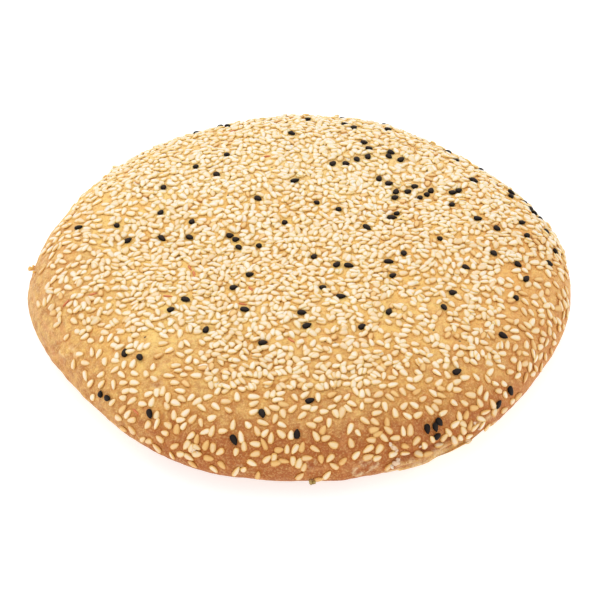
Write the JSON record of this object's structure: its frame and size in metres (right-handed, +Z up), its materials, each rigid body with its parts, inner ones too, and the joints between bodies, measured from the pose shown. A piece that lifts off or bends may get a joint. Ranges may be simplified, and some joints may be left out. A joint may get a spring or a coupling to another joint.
{
  "type": "sesame flatbread",
  "caption": "Round puffy golden flatbread with a soft domed crown, a drawn-in flat base and a crust baked with pale, toasted and black sesame seeds.",
  "frame": {"origin": "middle of the flat base, on the surface that the bread lies on", "axes": "+Z up through the crown; -Y towards the side where the seeds thin out and the crust is brownest, which the picture shows nearest"},
  "size_m": [0.1673, 0.1666, 0.0296],
  "materials": {
    "crust": "matte",
    "pale_sesame": "satin",
    "toasted_sesame": "satin",
    "black_sesame": "satin"
  },
  "bodies": {
    "root": {"flatbread": "crust"}
  },
  "joints": []
}
